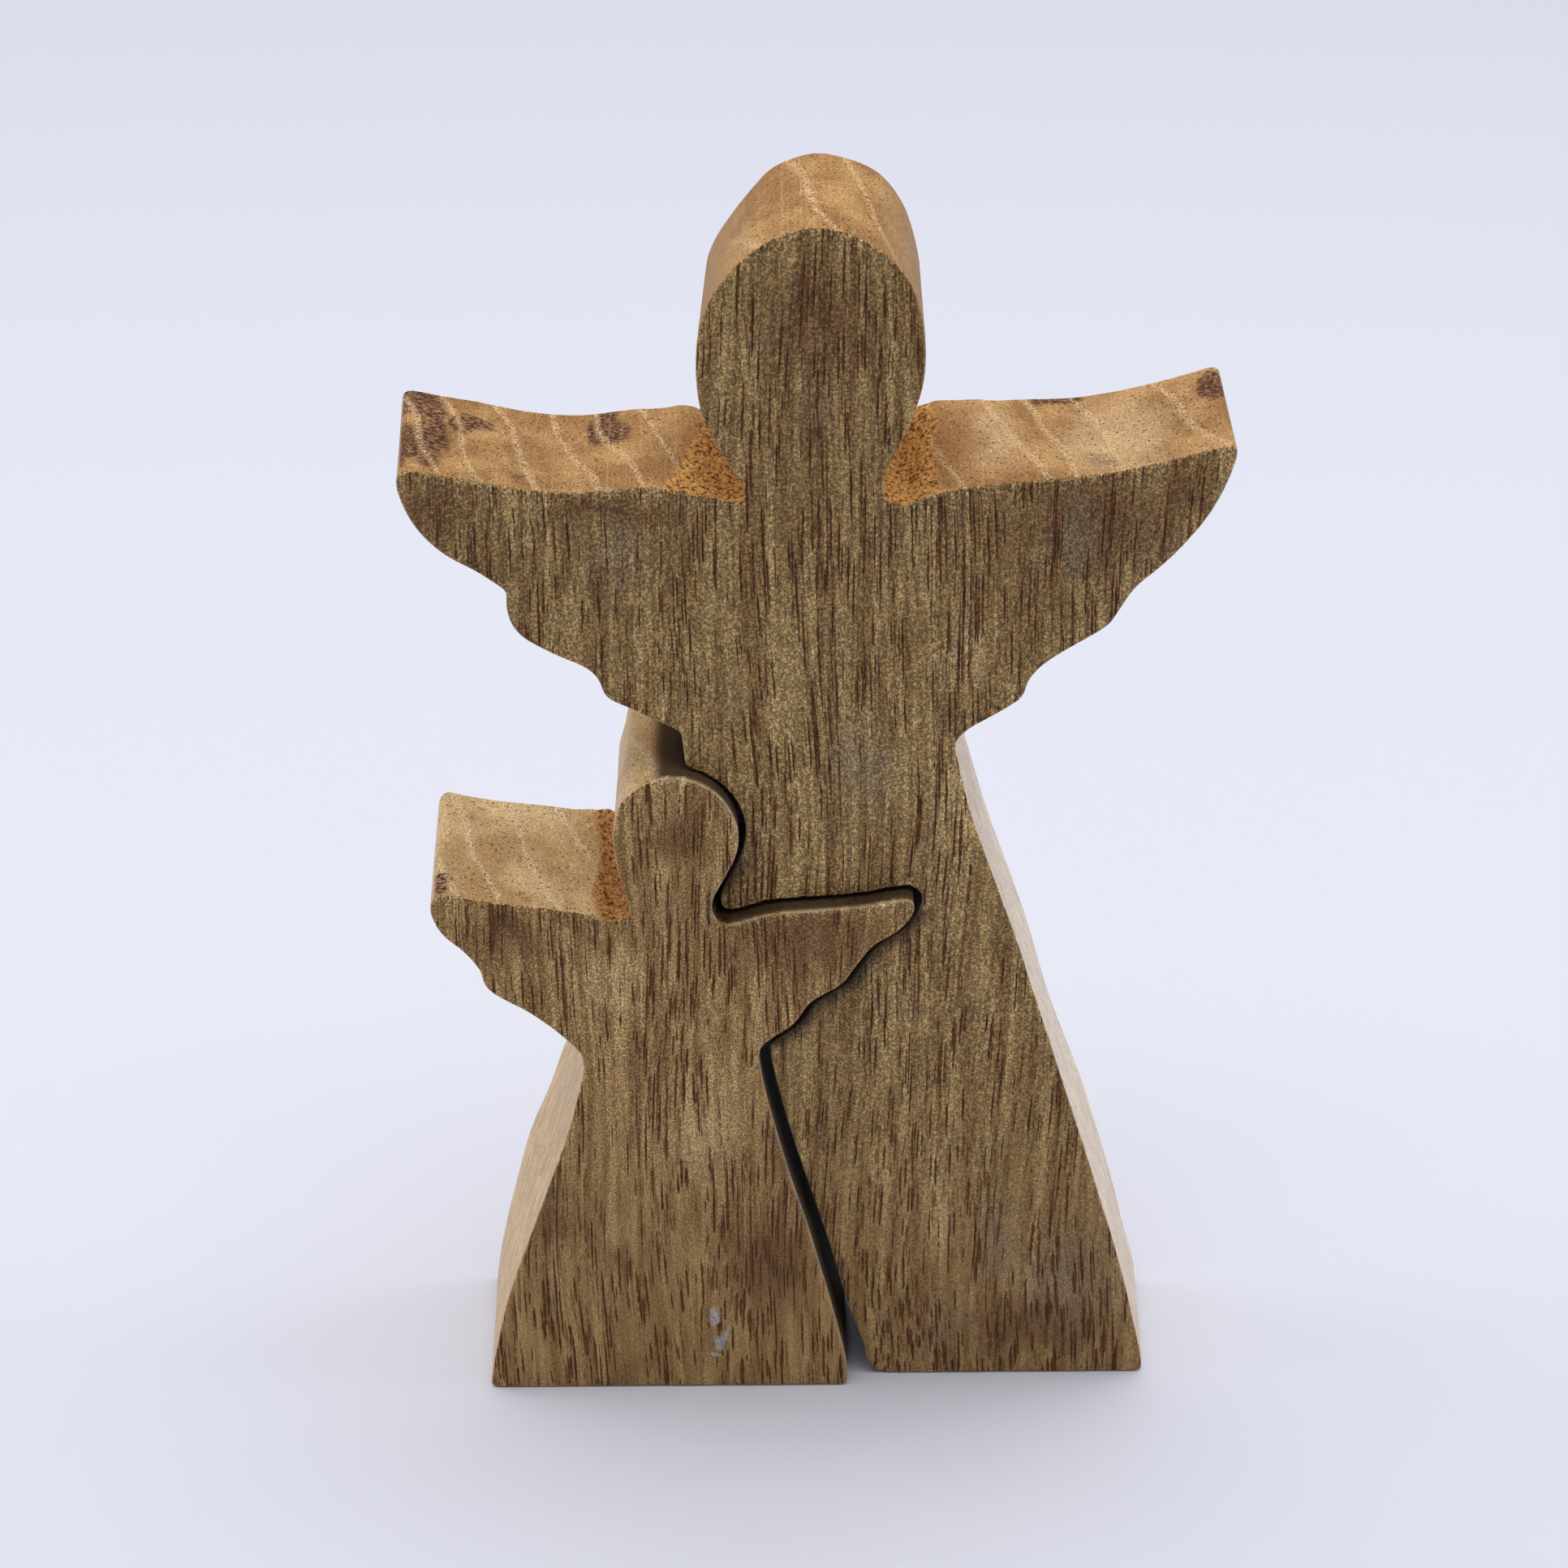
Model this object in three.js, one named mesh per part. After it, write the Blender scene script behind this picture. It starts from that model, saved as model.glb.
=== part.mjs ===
// Two nesting guardian angels, sawn as flat silhouettes from solid hardwood board.
// The small angel stands in a nest cut into the large angel's left side, and its right
// wing hooks under the large angel's body, so it only slides out to the front or the back.
// Millimetres, +Z up, front faces look along -Y, and the origin is on the ground under
// the middle of the pair.

import * as THREE from "three";

// Boards
const largeThickness = 20;
const smallThickness = 24;
const smallProud = 2.5; // how far the small angel stands in front of the large one
const edgeSoftening = 0.4; // sanded edge around every front and back face

// The saw gap between the small angel and its nest, measured square to the cut
const crownGap = 0.85;
const waistGap = 1.5;
const ankleGap = 2;
const footGap = 3.2;
const ankleHeight = 12;
const waistHeight = 58;
const crownHeight = 101.4;
const nestDrop = 0.55; // the large angel's foot is sanded shorter, so its nest sits lower

// Where the nest ends on the large angel
const nestEdgeX = -17;
const nestCornerHeight = 106.9; // the left wing's last feather ends here
const innerFootRadius = 3; // rounded foot beside the small angel

// Segments drawn between two neighbouring points of an outline
const curveDivisions = 4;

// Outlines, as [x, z] points seen from the front. Each list is one smooth stretch, and the
// outline turns a corner where two stretches meet. Both run counter-clockwise from the foot.

const smallRightSide = [
  [4.7, 0], [4.5, 4.5], [2.4, 14.5], [-0.7, 27.5], [-3.8, 39], [-6.3, 50], [-7.3, 56.2],
  [-7.1, 58.7], [-5.2, 60.4], [-2.6, 62.6], [-0.5, 66], [3.5, 68.9], [5.6, 72.2],
  [7.5, 75], [11, 77.6], [12.8, 80.4], [12.6, 82], [11.2, 82.2], [6, 81.2], [0, 80.6],
  [-5.5, 80.1], [-9.3, 78.9], [-11.6, 78.5], [-13.2, 79.7], [-13.3, 82.4], [-11.8, 85.8],
  [-10.3, 89.3], [-9.9, 93], [-11.2, 96.9], [-13.8, 99.9], [-17.8, 101.4], [-21.7, 100.6],
  [-24.9, 97.6], [-26.1, 92.4], [-25.3, 86.3], [-24.1, 81.8], [-24.4, 80.2], [-26.2, 79.4],
  [-28.4, 80.1],
];

const smallLeftWingTop = [[-28.4, 80.1], [-34, 81.2], [-41, 82.2], [-48.4, 83.6]];

const smallLeftWingUnderside = [
  [-48.4, 83.6], [-49.7, 82.6], [-49.8, 80.2], [-48.4, 77.1], [-45.8, 74.4], [-43.8, 71.5],
  [-43.2, 68.8], [-40.5, 66.3], [-36.5, 63.6], [-32.8, 60], [-30.8, 57], [-31.1, 52.5],
  [-33.4, 42.8], [-36.8, 32], [-41.2, 18], [-43.7, 7], [-44.7, 0],
];

const largeRightSkirt = [
  [45.7, 0], [45, 6], [40.8, 23.8], [33.3, 50.5], [25.9, 75.9], [20.3, 93.5], [17.7, 104.8],
];

const largeRightWingUnderside = [
  [17.7, 104.8], [19.5, 107], [24, 110], [26.2, 111.9], [26.8, 114.3], [29, 117], [36.1, 122.1],
  [37.7, 124.4], [39.8, 128], [44, 132.3], [48.2, 138], [50.6, 143.2], [51.6, 147.2],
  [51.3, 148.5], [50, 148.5],
];

const largeRightWingTop = [
  [50, 148.5], [43, 146.4], [36, 144.6], [28, 143.7], [20, 142.9], [14, 141.6], [11, 140.3],
];

const largeHead = [
  [11, 140.3], [9, 140.9], [7.9, 142.8], [9.3, 146.8], [11.6, 152.3], [13, 158.5], [12.7, 165.4],
  [10.7, 171.8], [6.3, 176.4], [0.2, 178.5], [-5.6, 177], [-10.5, 172.8], [-13.7, 167.2],
  [-14.7, 159.5], [-13.9, 152.2], [-11.4, 147.2], [-9.1, 143], [-9.3, 141], [-11.5, 140.9],
];

const largeLeftWingTop = [
  [-11.5, 140.9], [-16.5, 142.3], [-22, 142.9], [-29, 142.3], [-36, 142.7], [-43, 144.2],
  [-50.1, 145.5],
];

const largeLeftWingTip = [
  [-50.1, 145.5], [-51.3, 145.1], [-51.6, 142.8], [-50, 138.2], [-46.6, 133.8], [-42.5, 131],
  [-38.5, 128],
];

const largeLeftWingFeathers = [
  [-38.5, 128], [-38.6, 125], [-37.3, 121.7], [-33.5, 119], [-29, 116.6], [-27.3, 114.6],
  [-26.5, 112.2], [-23, 110.2], [nestEdgeX, nestCornerHeight],
];

function smoothStretch(points) {
  const curve = new THREE.SplineCurve(points.map(([x, z]) => new THREE.Vector2(x, z)));
  return curve.getPoints(curveDivisions * (points.length - 1));
}

// Joins stretches end to end, dropping the point that each shares with the one before it
function joinStretches(stretches) {
  const joined = stretches.flatMap((stretch) => stretch.slice(0, -1));
  joined.push(stretches.at(-1).at(-1));
  return joined;
}

function sawGap(height) {
  const { mapLinear } = THREE.MathUtils;
  if (height > waistHeight) {
    return mapLinear(height, waistHeight, crownHeight, waistGap, crownGap);
  }
  if (height > ankleHeight) {
    return mapLinear(height, ankleHeight, waistHeight, ankleGap, waistGap);
  }
  return mapLinear(height, 0, ankleHeight, footGap, ankleGap);
}

// The nest's wall: the small angel's facing edge, pushed out square to itself by the saw gap,
// from the head's crown down to just above the foot
function nestWall(smallEdge) {
  const wall = [];
  for (let i = 1; i < smallEdge.length - 1; i += 1) {
    const along = smallEdge[i + 1].clone().sub(smallEdge[i - 1]).normalize();
    const outward = new THREE.Vector2(along.y, -along.x);
    const point = smallEdge[i].clone().addScaledVector(outward, sawGap(smallEdge[i].y));
    point.y -= nestDrop;
    const pastCrown = point.y > waistHeight && point.x < nestEdgeX;
    if (pastCrown) {
      break;
    }
    if (point.y > innerFootRadius) {
      wall.push(point);
    }
  }
  return wall.reverse();
}

function angelFrom(outline, thickness, frontFace, name, material) {
  const geometry = new THREE.ExtrudeGeometry(new THREE.Shape(outline), {
    depth: thickness - 2 * edgeSoftening,
    bevelEnabled: true,
    bevelThickness: edgeSoftening,
    bevelSize: edgeSoftening,
    bevelOffset: -edgeSoftening,
    bevelSegments: 1,
  });
  const mesh = new THREE.Mesh(geometry, material);
  mesh.name = name;
  mesh.rotation.x = Math.PI / 2;
  mesh.position.y = frontFace + thickness - edgeSoftening;
  return mesh;
}

const smallEdge = smoothStretch(smallRightSide);
const smallOutline = joinStretches([
  smallEdge,
  smoothStretch(smallLeftWingTop),
  smoothStretch(smallLeftWingUnderside),
]);

const wall = nestWall(smallEdge);
const wallFoot = wall.at(-1);
const innerFoot = new THREE.QuadraticBezierCurve(
  wallFoot,
  new THREE.Vector2(wallFoot.x, 0),
  new THREE.Vector2(wallFoot.x + innerFootRadius, 0),
);

const largeOutline = joinStretches([
  smoothStretch(largeRightSkirt),
  smoothStretch(largeRightWingUnderside),
  smoothStretch(largeRightWingTop),
  smoothStretch(largeHead),
  smoothStretch(largeLeftWingTop),
  smoothStretch(largeLeftWingTip),
  smoothStretch(largeLeftWingFeathers),
  [new THREE.Vector2(nestEdgeX, nestCornerHeight), ...wall],
  innerFoot.getPoints(curveDivisions),
]);

const largeWood = new THREE.MeshStandardMaterial({ color: 0x7d6a45, roughness: 0.7, metalness: 0 });
const smallWood = new THREE.MeshStandardMaterial({ color: 0x80653f, roughness: 0.7, metalness: 0 });

const smallFront = -smallThickness / 2;
const largeFront = smallFront + smallProud;

const angels = new THREE.Group();
angels.add(angelFrom(largeOutline, largeThickness, largeFront, "large_angel", largeWood));
angels.add(angelFrom(smallOutline, smallThickness, smallFront, "small_angel", smallWood));

export default angels;
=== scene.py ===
# Two nesting guardian angels sawn from solid hardwood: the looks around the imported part.
# Each angel's plain CAD solid is replaced by the same sawn board with rounded edges, saw marks
# and torn end grain, in one solid wood pattern whose grain runs up the figure.
import math

import bmesh
import bpy
import numpy as np
from mathutils import Euler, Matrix, Vector, geometry, noise


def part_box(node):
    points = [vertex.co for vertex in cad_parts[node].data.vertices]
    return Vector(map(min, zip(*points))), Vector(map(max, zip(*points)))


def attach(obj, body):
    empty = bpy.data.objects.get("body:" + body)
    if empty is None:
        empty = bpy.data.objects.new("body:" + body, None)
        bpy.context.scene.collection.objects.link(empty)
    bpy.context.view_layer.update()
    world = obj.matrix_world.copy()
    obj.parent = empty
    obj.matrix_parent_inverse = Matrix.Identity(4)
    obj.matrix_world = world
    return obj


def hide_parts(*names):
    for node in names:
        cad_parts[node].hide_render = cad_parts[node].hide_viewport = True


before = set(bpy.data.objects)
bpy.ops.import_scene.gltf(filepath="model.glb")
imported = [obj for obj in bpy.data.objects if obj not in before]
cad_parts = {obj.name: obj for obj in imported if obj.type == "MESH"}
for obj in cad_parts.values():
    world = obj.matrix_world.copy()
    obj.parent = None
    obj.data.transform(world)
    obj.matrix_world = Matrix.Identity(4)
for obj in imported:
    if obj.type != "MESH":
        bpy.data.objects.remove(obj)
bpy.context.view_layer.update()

MM = 0.001

# ---------------------------------------------------------------- sizes, in millimetres
OUTLINE_STEP = 0.45
WALL_STEP = 0.7
FACE_STEP = 1.5
CORNER_TURN = math.radians(35)  # a sharper turn than this is a corner, not a curve
CORNER_SMOOTHING = 4  # rounds of averaging with the neighbours, which ease every corner a little
CURVE_DIVISIONS = 12
RIM_SEGMENTS = 4
FACE_BORDER = 0.35  # flat ring between the rounded rim and the face's own mesh
INSET_LIMIT = 0.45  # share of the tightest curve's radius that the rim and border may take
RIM_LIMIT = 0.6  # share of that inset that the rounded rim may take
EDGE_RADIUS = 0.42
NEST_EDGE_RADIUS = 0.24
NEST_REACH = 3.0  # walls closer than this to the other angel face it across the saw gap
SAW_RIPPLE = 0.035
SAW_WOBBLE = 0.12
TORN_RIPPLE = 1.6  # how much rougher the saw ripple gets beside torn grain
TORN_RIPPLE_REACH = 12  # in steps of the outline
FACE_HOLLOW = 0.07  # how unevenly the faces are sanded
TEAR_DEPTH = 0.45

# How far the saw blade wandered by the time it left the back face, as (x, z, shift along x,
# shift along z, reach), from 0 at the front face
BLADE_DRIFT = {
    "large_angel": [
        (-51, 145.3, -0.5, 0.3, 1.5), (-5, 177, 0.6, 0, 4), (-11.5, 171, 2.0, 0, 8), (-14.7, 160, 0.8, 0, 4),
        (6, 176.5, 0.7, 0, 5), (12, 168, -0.2, 0, 5), (13, 156, 0.7, 0, 3),
        (14, 141.6, 0, 2.2, 3), (19, 142.8, 0, 1.3, 3), (25, 143.4, 0, 0.5, 4),
        (-15.7, 142, 0, 1.1, 3), (-32, 142.4, 0, -0.2, 8), (51.5, 147, -0.6, 0, 4),
        (33, 52, -0.8, 0, 12), (25, 78, -0.9, 0, 14), (45.7, 2, 0.4, 0, 6),
    ],
    "small_angel": [
        (-25.4, 95, 1.1, 0, 4), (-34, 40, -0.3, 0, 5), (-38.5, 27, -0.7, 0, 7),
        (-27, 79.6, 0, 1.1, 3), (-49, 83.4, 0, 0.4, 1.5),
    ],
}

# Where a wing meets the neck, on which side of that corner the wing lies along the outline, and
# how far the torn end grain reaches out on it at the front and at the back
NECKS = {
    "large_angel": [((-10.4, 141), 1, 9, 4), ((9.6, 140.6), -1, 6, 6)],
    "small_angel": [((-24.6, 79.9), 1, 4.6, 4.8), ((-12.4, 78.7), -1, 2.5, 2.5)],
}
HEAD_SIDE = 3.0  # torn grain reaches this many times less far up the neck than out on the wing

# How deep below the front face the painted shade on the nest walls starts, standing in for the shade inside
# the saw gap between the angels, and how pale sanding left the rim there
NEST_SHADE_START = {"large_angel": 0.0, "small_angel": 0.1}
RIM_WEAR = {"large_angel": 0.0, "small_angel": 0.12}
PAINTED_RIM_SHADE = {"large_angel": 0.85, "small_angel": 0.0}  # painted shade on the large angel's front rim along the nest, where it faces up, for the shadow of the small angel's proud edge


# ---------------------------------------------------------------- sawn boards
def sawn_outline(node):
    """The node's outline in order, counter-clockwise seen from the front, as (x, z) rows in mm."""
    bm = bmesh.new()
    bm.from_mesh(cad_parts[node].data)
    bmesh.ops.remove_doubles(bm, verts=bm.verts, dist=1e-7)
    depths = sorted({round(v.co.y, 6) for v in bm.verts})
    wall_start = depths[1]
    ring = [e for e in bm.edges if all(abs(v.co.y - wall_start) < 1e-6 for v in e.verts)]
    neighbours = {}
    for edge in ring:
        a, b = edge.verts
        neighbours.setdefault(a, []).append(b)
        neighbours.setdefault(b, []).append(a)
    start = ring[0].verts[0]
    walk = [start, neighbours[start][0]]
    while walk[-1] is not start:
        ahead = [v for v in neighbours[walk[-1]] if v is not walk[-2]]
        walk.append(ahead[0])
    points = np.array([(v.co.x, v.co.z) for v in walk[:-1]]) / MM
    bm.free()
    following = np.roll(points, -1, axis=0)
    doubled_area = np.sum(points[:, 0] * following[:, 1] - points[:, 1] * following[:, 0])
    return points if doubled_area > 0 else points[::-1]


def smooth_outline(points):
    """The outline as a smooth curve through its points, cornered where it turns sharply, in even steps."""
    before = points - np.roll(points, 1, axis=0)
    after = np.roll(before, -1, axis=0)
    reach_before = np.linalg.norm(before, axis=1, keepdims=True)
    reach_after = np.roll(reach_before, -1, axis=0)
    slope_in = before / reach_before
    slope_out = after / reach_after
    turn = np.arccos(np.clip(np.sum(slope_in * slope_out, axis=1), -1, 1))
    smooth = (turn < CORNER_TURN)[:, None]
    shared = (slope_in * reach_after + slope_out * reach_before) / (reach_before + reach_after)
    # A long straight stretch beside a short curved one keeps a short handle, or it would bulge
    handle = np.minimum(reach_after, 2 * reach_before)
    next_handle = np.minimum(reach_after, 2 * np.roll(reach_after, -1, axis=0))
    leaving = np.where(smooth, shared, slope_out) * handle
    arriving = np.roll(np.where(smooth, shared, slope_in), -1, axis=0) * next_handle
    ending = np.roll(points, -1, axis=0)
    t = np.linspace(0, 1, CURVE_DIVISIONS, endpoint=False)[None, :, None]
    curve = (
        (2 * t**3 - 3 * t**2 + 1) * points[:, None]
        + (t**3 - 2 * t**2 + t) * leaving[:, None]
        + (3 * t**2 - 2 * t**3) * ending[:, None]
        + (t**3 - t**2) * arriving[:, None]
    ).reshape(-1, 2)
    closed = np.vstack([curve, curve[:1]])
    along = np.concatenate([[0], np.cumsum(np.linalg.norm(np.diff(closed, axis=0), axis=1))])
    count = int(round(along[-1] / OUTLINE_STEP))
    stops = np.linspace(0, along[-1], count, endpoint=False)
    even = np.column_stack([np.interp(stops, along, closed[:, k]) for k in range(2)])
    for _ in range(CORNER_SMOOTHING):
        even = (np.roll(even, 1, axis=0) + 2 * even + np.roll(even, -1, axis=0)) / 4
    return even


def outward_normals(outline):
    along = np.roll(outline, -1, axis=0) - np.roll(outline, 1, axis=0)
    along /= np.linalg.norm(along, axis=1, keepdims=True)
    return np.column_stack([along[:, 1], -along[:, 0]])


def ripple(places, size, seed):
    """Smooth noise from -1 to 1 at each row of places, whose bumps are about size across."""
    shift = Vector((seed * 17.3, seed * 5.1, seed * 11.7))
    return np.array([noise.noise(Vector(p) / size + shift) for p in places.tolist()])


def spread(values, reach):
    """The highest value within reach places to each side."""
    return np.max([np.roll(values, k) for k in range(-reach, reach + 1)], axis=0)


def fade(value, start, end):
    """0 at start and 1 at end, smoothly, for numbers or arrays."""
    t = np.clip((value - start) / (end - start), 0, 1)
    return t * t * (3 - 2 * t)


def filled(ring):
    """The triangles that fill a ring of (x, z) points, and the ring with the grid points added inside it."""
    low, high = ring.min(axis=0), ring.max(axis=0)
    row_height = FACE_STEP * math.sqrt(3) / 2
    grid = np.array([
        (x + FACE_STEP / 2 * (row % 2), z)
        for row, z in enumerate(np.arange(low[1], high[1], row_height))
        for x in np.arange(low[0], high[0], FACE_STEP)
    ])
    following = np.roll(ring, -1, axis=0)
    above = (ring[:, 1] > grid[:, 1:]) != (following[:, 1] > grid[:, 1:])
    rise = np.where(following[:, 1] == ring[:, 1], 1, following[:, 1] - ring[:, 1])
    crossing = ring[:, 0] + (grid[:, 1:] - ring[:, 1]) / rise * (following[:, 0] - ring[:, 0])
    inside = np.sum(above & (grid[:, :1] < crossing), axis=1) % 2 == 1
    clear = np.min(np.linalg.norm(grid[:, None] - ring[None], axis=2), axis=1) > FACE_STEP * 0.6
    points = np.vstack([ring, grid[inside & clear]])
    loop = list(range(len(ring)))
    edges = [(k, (k + 1) % len(loop)) for k in loop]
    flat = [Vector(p) for p in points.tolist()]
    made = geometry.delaunay_2d_cdt(flat, edges, [loop], 1, 1e-6)
    if len(made[0]) != len(points):
        raise RuntimeError("the face's ring crosses itself, so its inset is too deep for a corner")
    triangles = [[made[3][corner][0] for corner in triangle] for triangle in made[2]]
    return points, triangles


def blade_drift(node, outline):
    shift = np.zeros_like(outline)
    total = np.zeros(len(outline))
    for x, z, along_x, along_z, reach in BLADE_DRIFT[node]:
        weight = np.exp(-np.sum((outline - (x, z)) ** 2, axis=1) / reach**2)
        shift += weight[:, None] * (along_x, along_z)
        total += weight
    return shift / np.maximum(total, 1)[:, None]


def torn_grain(node, outline, depth_share):
    """How torn the wall is, from 0 to 1, at each depth (row) and outline point (column)."""
    count = len(outline)
    places = np.arange(count)
    rag = ripple(np.column_stack([places * OUTLINE_STEP, np.zeros(count), np.zeros(count)]), 1.1, 3)
    torn = np.zeros((len(depth_share), count))
    for corner, wing_side, front_reach, back_reach in NECKS[node]:
        centre = np.argmin(np.linalg.norm(outline - corner, axis=1))
        along = ((places - centre + count // 2) % count - count // 2) * OUTLINE_STEP * wing_side
        distance = np.where(along > 0, along, -along * HEAD_SIDE)
        reach = front_reach + (back_reach - front_reach) * depth_share[:, None]
        ragged = distance[None] + 1.1 * rag[None] * np.cos(9 * depth_share[:, None] + along[None])
        torn = np.maximum(torn, fade(ragged, reach, reach - 1.4))
    return torn


def board(node, outline, other_outline, seed):
    """The sawn board as one closed mesh, with what each point of its surface is as attributes."""
    low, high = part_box(node)
    front, back = low.y / MM, high.y / MM
    count = len(outline)
    outward = outward_normals(outline)
    along = np.arange(count) * OUTLINE_STEP
    along_line = np.column_stack([along, np.zeros(count), np.zeros(count)])

    to_other = np.min(np.linalg.norm(outline[:, None] - other_outline[None], axis=2), axis=1)
    nest = 1 - fade(to_other, NEST_REACH, NEST_REACH + 2)
    end_grain = np.abs(outward[:, 1])

    # Rim radius: small in the nest, uneven everywhere, nicked where the cut crosses the grain
    radius = EDGE_RADIUS + (NEST_EDGE_RADIUS - EDGE_RADIUS) * nest
    radius *= 1 + 0.4 * ripple(along_line, 4, seed)
    nicks = fade(ripple(along_line, 0.8, seed + 1), 0.2, 0.6) * fade(end_grain, 0.8, 0.95)
    front_radius = radius + nicks * (0.04 + 0.36 * nest)
    turn = np.cross(np.roll(outward, 1, axis=0), np.roll(outward, -1, axis=0)) / 2
    sharpest = spread(np.maximum(turn, 0), 4) / OUTLINE_STEP
    deepest_inset = INSET_LIMIT / np.maximum(sharpest, 1e-3)

    # Rows of the wall from the front face's border round the rim to the back face's border
    rows = []
    for face, rim, step in ((front, front_radius, 1), (back, radius, -1)):
        arc = [(face, FACE_BORDER, math.pi / 2)]
        arc += [(face, 0, math.pi / 2 * k / RIM_SEGMENTS) for k in range(RIM_SEGMENTS, -1, -1)]
        side = []
        for start, border, angle in arc:
            reach = np.minimum(rim, deepest_inset * RIM_LIMIT)
            y = start + step * reach * (1 - math.sin(angle))
            inset = np.minimum(reach * (1 - math.cos(angle)) + border, deepest_inset)
            side.append((np.broadcast_to(y, count), inset, math.sin(angle)))
        rows.append(side)
    front_rows, back_rows = rows[0], rows[1][::-1]
    first, last = front_rows[-1][0], back_rows[0][0]
    wall_rows = int(round((back - front) / WALL_STEP))
    middle_rows = [
        (first + (last - first) * k / wall_rows, np.zeros(count), 0) for k in range(1, wall_rows)
    ]
    rows = front_rows + middle_rows + back_rows

    depth = np.array([y for y, _, _ in rows])
    inset = np.array([i for _, i, _ in rows])
    face_share = np.array([s for _, _, s in rows])
    depth_share = (depth.mean(axis=1) - front) / (back - front)
    nest_shade_start = front + NEST_SHADE_START[node]
    torn = torn_grain(node, outline, depth_share)

    saw_lines = 0.6 * ripple(along_line, 0.9, seed + 2) + 0.5 * ripple(along_line, 2.2, seed + 3)
    saw_depth = SAW_RIPPLE * (1 + TORN_RIPPLE * spread(torn.max(axis=0), TORN_RIPPLE_REACH))
    wobble = SAW_WOBBLE * (1 - nest) * ripple(along_line, 9, seed + 4)
    drift = blade_drift(node, outline) * (1 - nest)[:, None]

    base = outline + outward * (saw_lines * saw_depth + wobble)[:, None]
    flat = base[None] - outward[None] * inset[:, :, None] + drift[None] * depth_share[:, None, None]
    grid = np.stack([flat[:, :, 0], depth, flat[:, :, 1]], axis=2)
    tufts = ripple(grid.reshape(-1, 3), 1.0, seed + 5) + 0.6 * ripple(grid.reshape(-1, 3), 0.5, seed + 6)
    pull = torn * TEAR_DEPTH * (tufts.reshape(torn.shape) - 0.4) * (1 - 0.6 * nest)
    grid[:, :, 0] += outward[:, 0] * pull
    grid[:, :, 2] = np.maximum(grid[:, :, 2] + outward[:, 1] * pull, 0)

    points = grid.reshape(-1, 3)
    faces = []
    for row in range(len(rows) - 1):
        for k in range(count):
            ahead = (k + 1) % count
            here, below = row * count, (row + 1) * count
            faces.append((here + k, below + k, below + ahead, here + ahead))
    worn = np.maximum(nicks * (0.3 + 0.7 * nest), RIM_WEAR[node] * nest)
    front_rim = (np.arange(len(rows)) < len(front_rows))[:, None]
    # scorch: painted shade that darkens the nest walls from a little below the front face, standing in for
    # the shade inside the saw gap between the angels
    scorch = nest * fade(depth, nest_shade_start, nest_shade_start + 1.0)
    # Painted shade: the large angel's front rim along the nest is darkened where the wall faces up, for the
    # shadow of the small angel's proud edge
    painted_rim_shade = PAINTED_RIM_SHADE[node] * front_rim * nest * fade(outward[:, 1], 0.1, 0.5)
    looks = {
        "face": np.repeat(face_share, count),
        "end_grain": np.tile(end_grain, len(rows)),
        "torn": torn.reshape(-1),
        "nick": np.concatenate([worn * (0 < row < len(front_rows)) for row in range(len(rows))]),
        "nest": np.maximum(scorch * (1 - face_share[:, None]), painted_rim_shade).reshape(-1),
    }
    for ring_start, y, flip in ((0, front, False), ((len(rows) - 1) * count, back, True)):
        ring = points[ring_start:ring_start + count][:, [0, 2]]
        filling, triangles = filled(ring)
        added = filling[count:]
        base_index = len(points) - count
        points = np.vstack([points, np.column_stack([added[:, 0], np.full(len(added), y), added[:, 1]])])
        for triangle in triangles:
            corners = [ring_start + c if c < count else base_index + c for c in triangle]
            faces.append(corners[::-1] if flip else corners)
        for key, value in (("face", 1), ("end_grain", 0), ("torn", 0), ("nick", 0), ("nest", 0)):
            looks[key] = np.concatenate([looks[key], np.full(len(added), float(value))])

    # Hand-sanded faces are never quite flat
    hollow = FACE_HOLLOW * (0.5 + 0.5 * ripple(points * (1, 0, 0.5), 13, seed + 7))
    points[:, 1] += hollow * (fade(points[:, 1], front + 1.5, front) - fade(points[:, 1], back - 1.5, back))

    mesh = bpy.data.meshes.new(node + "_board")
    mesh.from_pydata((points * MM).tolist(), [], faces)
    for key, value in looks.items():
        mesh.attributes.new(key, "FLOAT", "POINT").data.foreach_set("value", value.astype(np.float32))
    mesh.shade_smooth()
    mesh.validate()
    piece = bpy.data.objects.new(node + "_board", mesh)
    bpy.context.scene.collection.objects.link(piece)
    return piece


# ---------------------------------------------------------------- wood
def colour(red, green, blue):
    """A colour given as the 0 to 255 values of a colour picker, as the linear one that shaders use."""
    def linear(value):
        value /= 255
        return value / 12.92 if value <= 0.04045 else ((value + 0.055) / 1.055) ** 2.4
    return (linear(red), linear(green), linear(blue), 1)


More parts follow.
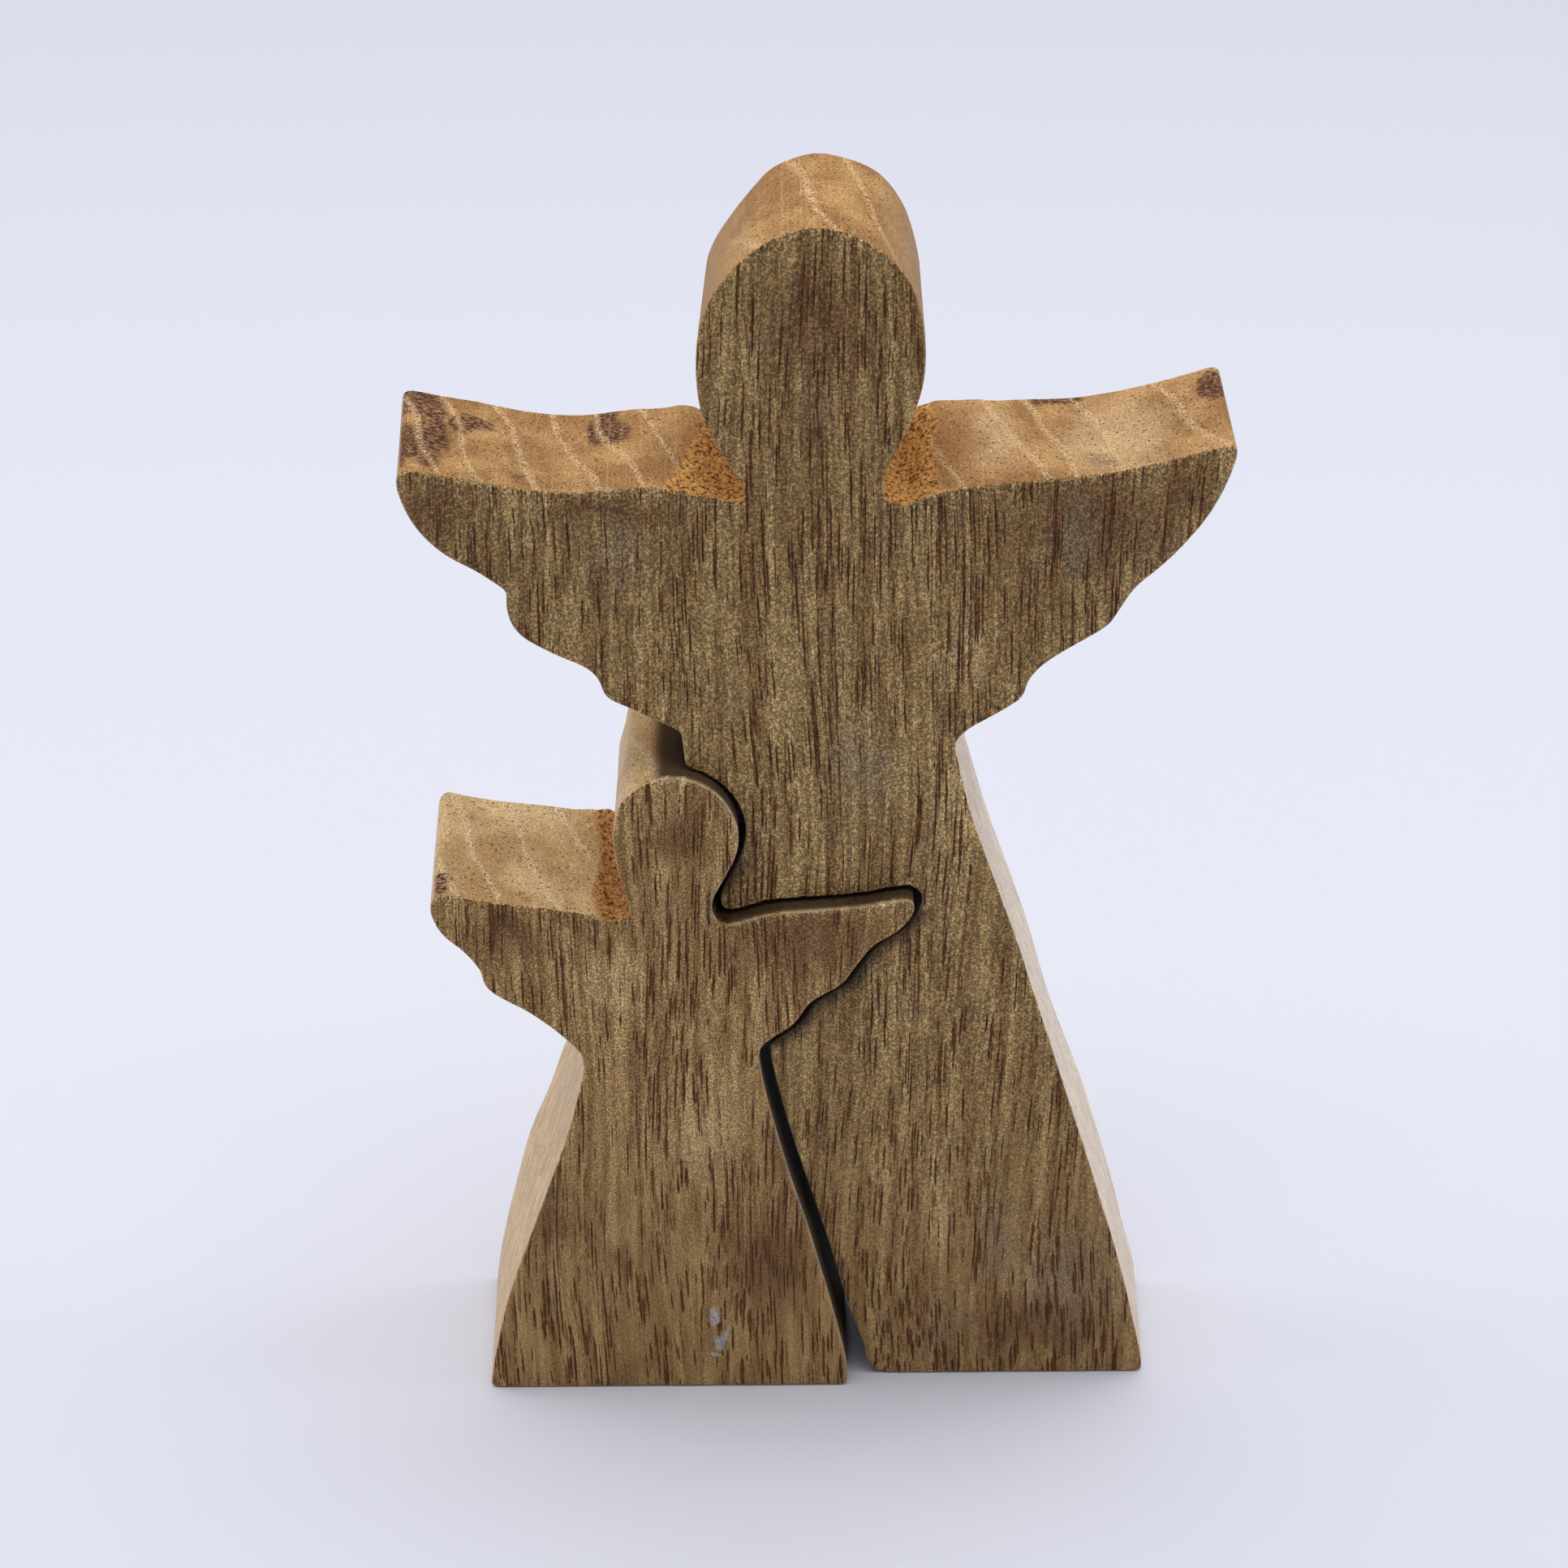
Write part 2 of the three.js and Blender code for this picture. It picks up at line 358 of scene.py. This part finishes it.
class Shading:
    """One material's nodes. Each call adds a node and gives its output."""

    def __init__(self, name):
        self.material = bpy.data.materials.new(name)
        self.material.use_nodes = True
        self.tree = self.material.node_tree
        self.surface = self.tree.nodes["Principled BSDF"]

    def connect(self, socket, value):
        if isinstance(value, bpy.types.NodeSocket):
            self.tree.links.new(value, socket)
        else:
            socket.default_value = value

    def add(self, kind, inputs, output=0, **settings):
        node = self.tree.nodes.new("ShaderNode" + kind)
        for key, value in settings.items():
            setattr(node, key, value)
        for key, value in inputs.items():
            self.connect(node.inputs[key], value)
        return node.outputs[output]

    def math(self, operation, a, b=0.0):
        return self.add("Math", {0: a, 1: b}, operation=operation)

    def vector(self, operation, a, b):
        return self.add("VectorMath", {0: a, 1: b}, operation=operation)

    def level(self, value, start, end, low=0.0, high=1.0):
        """low where value is start and high where it is end, smoothly."""
        sockets = {"Value": value, "From Min": start, "From Max": end, "To Min": low, "To Max": high}
        return self.add("MapRange", sockets, interpolation_type="SMOOTHSTEP")

    def mix(self, share, a, b, blend="MIX"):
        node = self.tree.nodes.new("ShaderNodeMix")
        node.data_type = "RGBA"
        node.blend_type = blend
        for socket, value in zip((node.inputs[0], node.inputs[6], node.inputs[7]), (share, a, b)):
            self.connect(socket, value)
        return node.outputs[2]

    def noise(self, place, size, detail=2.0, output="Fac"):
        """Noise whose blotches are about size mm along x, y and z."""
        scaled = self.vector("DIVIDE", place, size)
        return self.add("TexNoise", {"Vector": scaled, "Scale": 1.0, "Detail": detail}, output)

    def flecks(self, place, size, low, high, crowding):
        """1 inside grains strewn one to each cell of size mm, which grow where they crowd."""
        scaled = self.vector("DIVIDE", place, size)
        distance = self.add("TexVoronoi", {"Vector": scaled, "Scale": 1.0}, "Distance")
        past = self.math("SUBTRACT", distance, self.level(crowding, 0.0, 1.0, low, high))
        return self.level(past, 0.0, -0.09)

    def spots(self, place, spots, core=0.1):
        """1 in the core of each soft spot, given as its centre and its reach along x, y and z in mm."""
        total = 0.0
        for centre, reach in spots:
            offset = self.vector("DIVIDE", self.vector("SUBTRACT", place, centre), reach)
            distance = self.add("VectorMath", {0: offset}, "Value", operation="LENGTH")
            total = self.math("MAXIMUM", total, self.level(distance, 1.0, core))
        return total

    def share(self, value, amount):
        return self.math("MULTIPLY", value, amount)

    def surface_look(self, name):
        return self.add("Attribute", {}, "Fac", attribute_name=name)


RINGS_FACE = (0.944, 0.33, 0.0)  # the direction square to the growth rings
RING_WIDTH = 7.0
GRIT_CONTRAST = 2.4  # the finest speckle is at most about this many times lighter or darker


def wood(name, shift, tones, patches):
    """Solid ring-patterned hardwood with its grain along z, the same all through the board."""
    s = Shading(name)
    rest = s.vector("MULTIPLY", s.add("TexCoord", {}, "Object"), (1000, 1000, 1000))
    place = s.vector("ADD", rest, shift)
    sway = s.vector("SUBTRACT", s.noise(place, (20, 20, 70), 1.0, "Color"), (0.5, 0.5, 0.5))
    grain = s.vector("ADD", place, s.vector("MULTIPLY", sway, (7, 7, 0)))
    jitter = s.vector("SUBTRACT", s.noise(place, (0.5, 0.5, 1.2), 1.0, "Color"), (0.5, 0.5, 0.5))
    fibre_path = s.vector("ADD", grain, s.vector("MULTIPLY", jitter, (0.22, 0.22, 1.5)))
    blur = s.vector("SUBTRACT", s.noise(place, (5, 5, 8), 3.0, "Color"), (0.5, 0.5, 0.5))
    patch_place = s.vector("ADD", rest, s.vector("MULTIPLY", blur, (5, 5, 12)))
    low = s.level(s.add("SeparateXYZ", {0: rest}, "Z"), 65.0, 10.0)
    face = s.level(s.surface_look("face"), 0.35, 0.75)
    end = s.level(s.surface_look("end_grain"), 0.35, 0.85)
    torn = s.surface_look("torn")
    nick = s.surface_look("nick")
    nest = s.surface_look("nest")

    # Growth rings
    across = s.add("VectorMath", {0: grain, 1: RINGS_FACE}, "Value", operation="DOT_PRODUCT")
    ring_place = s.math("DIVIDE", across, RING_WIDTH)
    line_gap = s.add("TexVoronoi", {"W": ring_place, "Scale": 1.0}, "Distance",
                     voronoi_dimensions="1D", feature="DISTANCE_TO_EDGE")
    ring_middle = s.add("TexVoronoi", {"W": ring_place, "Scale": 1.0}, "W", voronoi_dimensions="1D")
    ring_line = s.level(line_gap, 0.1, 0.02)
    late_wood = s.level(s.math("SUBTRACT", ring_place, ring_middle), 0.0, 0.4)

    # Vessels: dashes on the long grain, dots on the end grain
    clusters = s.noise(grain, (5, 5, 26), 4.0)
    crowding = s.level(s.math("ADD", clusters, s.share(late_wood, 0.08)), 0.28, 0.58)
    broad = s.flecks(fibre_path, (0.52, 0.52, 17), 0.13, 0.36, crowding)
    fine = s.flecks(fibre_path, (0.42, 0.42, 8), 0.1, 0.34, crowding)
    long = s.flecks(fibre_path, (0.68, 0.68, 48), 0.1, 0.27, crowding)
    long = s.math("MULTIPLY", long, s.spots(rest, patches["long_vessels"], 0.5))
    short = s.flecks(fibre_path, (0.75, 0.75, 9), 0.14, 0.33, crowding)
    vessels = s.math("MAXIMUM", s.math("MAXIMUM", broad, s.share(fine, 0.6)), long)
    vessels = s.math("MAXIMUM", vessels, s.math("MULTIPLY", short, low))
    halo = s.flecks(grain, (0.8, 0.8, 52), 0.2, 0.55, crowding)

    # Long-grain faces
    streaks = s.noise(grain, (1.1, 1.1, 30), 5.0)
    fibres = s.noise(fibre_path, (0.2, 0.2, 2.4), 2.0)
    speckle = s.noise(place, (0.24, 0.24, 0.28), 0.5)
    mottle = s.noise(place, (13, 13, 24), 4.0)
    face_tone = s.mix(s.level(streaks, 0.32, 0.68), tones["face_dark"], tones["face_light"])
    face_tone = s.mix(s.share(low, 0.3), face_tone, tones["face_low"])
    brown = s.math("MAXIMUM", s.level(mottle, 0.42, 0.26), s.spots(patch_place, patches["brown"]))
    face_tone = s.mix(s.share(brown, 0.8), face_tone, tones["face_brown"])
    face_tone = s.mix(s.share(s.spots(patch_place, patches["light"]), 0.6), face_tone, tones["face_pale"])
    grey = s.math("MAXIMUM", s.level(mottle, 0.6, 0.78), s.spots(patch_place, patches["grey"]))
    face_tone = s.mix(s.share(grey, 0.6), face_tone, tones["face_grey"])
    face_tone = s.mix(s.share(halo, 0.35), face_tone, tones["vessel_halo"])
    vessel_tone = s.mix(s.level(fibres, 0.35, 0.65), tones["vessel"], tones["vessel_red"])
    face_tone = s.mix(s.share(vessels, 0.95), face_tone, vessel_tone)
    face_tone = s.mix(s.share(s.spots(patch_place, patches["glue"], 0.4), 0.75), face_tone, tones["glue"])

    # Side walls, sawn along the grain and sanded pale; the large angel's tones are paler still, partly a
    # painted highlight for the glare on its right-hand wall
    side_tone = s.mix(s.level(streaks, 0.3, 0.7), tones["side_dark"], tones["side_light"])
    side_tone = s.mix(s.spots(rest, patches["amber"]), side_tone, tones["side_amber"])
    side_tone = s.mix(s.share(vessels, 0.2), side_tone, tones["vessel_halo"])

    # End grain
    end_mottle = s.level(s.noise(place, (7, 7, 9), 3.0), 0.35, 0.65)
    end_tone = s.mix(end_mottle, tones["end_dark"], tones["end_light"])
    dash = s.noise(place, (0.6, 0.35, 1.5), 1.0)
    stain_noise = s.share(s.level(s.noise(place, (9, 9, 40), 2.0), *patches["stain_noise"]), late_wood)
    stained = s.math("MAXIMUM", s.spots(patch_place, patches["stain"], 0.65), stain_noise)
    stain_share = s.math("MULTIPLY", stained, s.level(dash, 0.38, 0.58, 0.35, 1.0))
    end_tone = s.mix(stain_share, end_tone, tones["end_stain"])
    end_tone = s.mix(s.share(s.spots(patch_place, patches["pale"]), 0.6), end_tone, tones["end_pale"])
    end_tone = s.mix(s.share(s.spots(patch_place, patches["scorch"]), 0.7), end_tone, tones["end_scorch"])
    line_share = s.math("MULTIPLY", ring_line, s.level(speckle, 0.3, 0.65, 0.1, 0.6))
    end_tone = s.mix(line_share, end_tone, tones["end_pale"])
    saw_marks = s.noise(place, (0.4, 24, 24), 2.0)
    end_tone = s.mix(s.level(saw_marks, 0.54, 0.72, 0.0, 0.2), end_tone, tones["end_pale"])
    pores = s.flecks(place, (0.85, 0.85, 8), 0.1, 0.24, crowding)
    end_tone = s.mix(s.share(pores, 0.8), end_tone, tones["pore"])

    # Torn end grain
    tufts = s.noise(place, (0.5, 0.5, 0.7), 4.0)
    torn_tone = s.mix(s.level(tufts, 0.32, 0.58), tones["torn_dark"], tones["torn_light"])

    wall_tone = s.mix(end, side_tone, end_tone)
    wall_tone = s.mix(torn, wall_tone, torn_tone)
    tone = s.mix(face, wall_tone, face_tone)
    # Painted shade: the nest share darkens the nest walls towards near black for the shade inside the saw
    # gap, and the large angel's up-facing front rim there for the shadow of the small angel's proud edge
    tone = s.mix(s.share(nest, 0.9), tone, tones["nest"])
    tone = s.mix(s.share(nick, 0.7), tone, tones["end_pale"])
    grit = s.math("ADD", s.share(speckle, 0.75), s.share(fibres, 0.25))
    grit_depth = s.math("ADD", s.math("ADD", s.share(face, 0.65), s.share(end, 0.2)), 0.3)
    grit_depth = s.math("MULTIPLY", grit_depth, s.math("SUBTRACT", 1.0, s.share(low, 0.5)))
    shade = s.math("POWER", GRIT_CONTRAST, s.math("MULTIPLY", s.level(grit, 0.2, 0.8, -1.1, 1.0), grit_depth))
    tone = s.mix(1.0, tone, s.add("CombineXYZ", {0: shade, 1: shade, 2: shade}), "MULTIPLY")

    roughness = s.math("ADD", s.share(vessels, 0.15), s.level(speckle, 0.3, 0.7, 0.55, 0.7))
    height = s.math("ADD", s.share(vessels, -0.06), s.share(fibres, 0.03))
    height = s.math("ADD", height, s.share(speckle, 0.05))
    height = s.math("ADD", height, s.share(s.math("MULTIPLY", tufts, torn), 0.5))
    bump = s.add("Bump", {"Height": height, "Distance": MM, "Strength": 1.0}, "Normal")
    s.surface.inputs["Specular IOR Level"].default_value = 0.22
    s.connect(s.surface.inputs["Base Color"], tone)
    s.connect(s.surface.inputs["Roughness"], roughness)
    s.connect(s.surface.inputs["Normal"], bump)
    return s.material


LARGE_TONES = {
    "face_dark": colour(143, 111, 68), "face_light": colour(189, 159, 106),
    "face_grey": colour(144, 127, 102), "face_brown": colour(114, 78, 46), "face_pale": colour(216, 184, 130),
    "face_low": colour(160, 118, 72),
    "vessel": colour(66, 37, 18), "vessel_red": colour(112, 66, 32), "vessel_halo": colour(136, 100, 60),
    # The large angel's near-white side-wall tones are sanded wood lightened further, partly a painted
    # highlight for the glare on its right-hand wall
    "side_dark": colour(222, 202, 180), "side_light": colour(243, 228, 212),
    "side_amber": colour(172, 134, 93), "end_scorch": colour(160, 108, 60),
    "end_dark": colour(156, 113, 68), "end_light": colour(190, 147, 95),
    "end_stain": colour(78, 44, 36), "end_pale": colour(218, 186, 142), "pore": colour(88, 54, 32),
    "torn_dark": colour(112, 64, 24), "torn_light": colour(234, 174, 98),
    # nest: the near-black colour of the painted shade in the saw gap and under the small angel's proud edge
    "nest": colour(38, 24, 15), "glue": colour(190, 184, 182),
}
SMALL_TONES = LARGE_TONES | {
    "side_dark": colour(206, 176, 138), "side_light": colour(228, 200, 164),
    "face_dark": colour(152, 116, 71), "face_light": colour(198, 163, 108),
    "end_dark": colour(190, 152, 104), "end_light": colour(220, 188, 140),
    "torn_dark": colour(98, 58, 28), "torn_light": colour(208, 152, 88), "end_pale": colour(236, 212, 172),
}
# Patches that this pair's boards have, as centre and reach in mm
LARGE_PATCHES = {
    "brown": [
        ((-25, -9.5, 139), (12, 8, 4)), ((33, -9.5, 137), (20, 8, 11)), ((0, -9.5, 166), (11, 8, 13)),
        ((-47, -9.5, 139), (7, 8, 8)), ((46, -9.5, 143), (6, 8, 8)), ((30, -9.5, 8), (16, 8, 7)),
    ],
    "grey": [
        ((6, -9.5, 102), (7, 8, 9)), ((32, -9.5, 135), (6, 8, 7)), ((35, -9.5, 17), (10, 8, 14)),
        ((25, -9.5, 24), (4, 8, 13)),
    ],
    "light": [((18, -9.5, 95), (5, 8, 16)), ((18, -9.5, 119), (6, 8, 9)), ((17, -9.5, 32), (4, 8, 16))],
    "stain": [
        ((-49.5, -1, 144), (5, 9, 4)), ((-50, 7, 145), (5, 5, 4)), ((-43, 4, 143.5), (4, 3, 4)),
        ((-26, 6, 142.5), (3, 6, 4)), ((49.5, 6, 147.5), (3, 4, 4)), ((31, 9.5, 144), (4, 2, 4)),
    ],
    "stain_noise": (0.62, 0.72),
    "pale": [((22, 1, 142.5), (5, 12, 4)), ((38, -1, 145), (12, 14, 5))],
    "glue": [],
    "amber": [((0, 0, 175), (300, 300, 72))],
    "long_vessels": [((0, 0, 110), (300, 300, 55))],
    "scorch": [((13, 2, 142), (9, 16, 8)), ((-13, -4, 142), (6, 12, 8))],
}
SMALL_PATCHES = {
    "brown": [
        ((-2, -12, 76), (16, 8, 9)), ((-40, -12, 77), (8, 8, 6)), ((-36, -12, 32), (6, 8, 12)),
        ((-5, -12, 22), (9, 8, 14)), ((-18, -12, 92), (7, 8, 8)),
    ],
    "grey": [],
    "light": [((-14.5, -12, 45), (9, 8, 14)), ((-26, -12, 69), (6, 8, 7))],
    "stain": [((-49, -9, 83), (2, 3, 4))],
    "stain_noise": (0.78, 0.88),
    "pale": [],
    "amber": [],
    "long_vessels": [((-10, 0, 52), (300, 300, 45))],
    "scorch": [],
    "glue": [
        ((-13.6, -12, 12.8), (1.6, 3, 1.2)), ((-13, -12, 9.6), (2, 3, 1.4)),
        ((-13.6, -12, 7), (1.2, 3, 0.9)),
    ],
}


def angel(node, other, body, seed, shift, tones, patches):
    piece = board(node, outlines[node], outlines[other], seed)
    piece.data.materials.append(wood(node + "_wood", shift, tones, patches))
    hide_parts(node)
    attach(piece, body)


outlines = {node: smooth_outline(sawn_outline(node)) for node in ("large_angel", "small_angel")}
angel("large_angel", "small_angel", "large", 1, (0, 0, 0), LARGE_TONES, LARGE_PATCHES)
angel("small_angel", "large_angel", "small", 2, (163, 40, 310), SMALL_TONES, SMALL_PATCHES)


# ---------------------------------------------------------------- studio
def floor():
    mesh = bpy.data.meshes.new("floor")
    half = 3.0
    below = -0.0001
    corners = [(-half, -half, below), (half, -half, below), (half, half, below), (-half, half, below)]
    mesh.from_pydata(corners, [], [(0, 1, 2, 3)])
    piece = bpy.data.objects.new("floor", mesh)
    bpy.context.scene.collection.objects.link(piece)
    s = Shading("floor_paper")
    s.surface.inputs["Base Color"].default_value = colour(226, 228, 240)
    s.surface.inputs["Roughness"].default_value = 0.9
    mesh.materials.append(s.material)


def softbox(name, place, aim, size, power):
    light = bpy.data.lights.new(name, "AREA")
    light.shape = "RECTANGLE"
    light.size, light.size_y = size
    light.energy = power
    piece = bpy.data.objects.new(name, light)
    piece.location = place
    piece.rotation_euler = (Vector(aim) - Vector(place)).to_track_quat("-Z", "Y").to_euler()
    bpy.context.scene.collection.objects.link(piece)


def daylight():
    world = bpy.data.worlds.new("studio")
    world.use_nodes = True
    background = world.node_tree.nodes["Background"]
    background.inputs["Color"].default_value = (0.93, 0.95, 1.0, 1)
    background.inputs["Strength"].default_value = 0.25
    bpy.context.scene.world = world


def camera():
    data = bpy.data.cameras.new("camera")
    data.sensor_width = 36
    data.lens = 111.8
    data.clip_start = 0.01
    piece = bpy.data.objects.new("camera", data)
    piece.location = (-0.00944, -0.5255, 0.44704)
    piece.rotation_euler = Euler((math.radians(56), 0, math.radians(-0.6)))
    bpy.context.scene.collection.objects.link(piece)
    bpy.context.scene.camera = piece


floor()
daylight()
middle = (0, 0, 0.08)
softbox("overhead", (0.0, 0.07, 1.0), middle, (1.0, 0.9), 8)
softbox("right_side", (1.0, 0.15, 0.5), middle, (0.6, 0.8), 3.2)
softbox("left_side", (-1.0, 0.15, 0.5), middle, (0.6, 0.8), 3.4)
camera()
bpy.context.scene.view_settings.view_transform = "Standard"
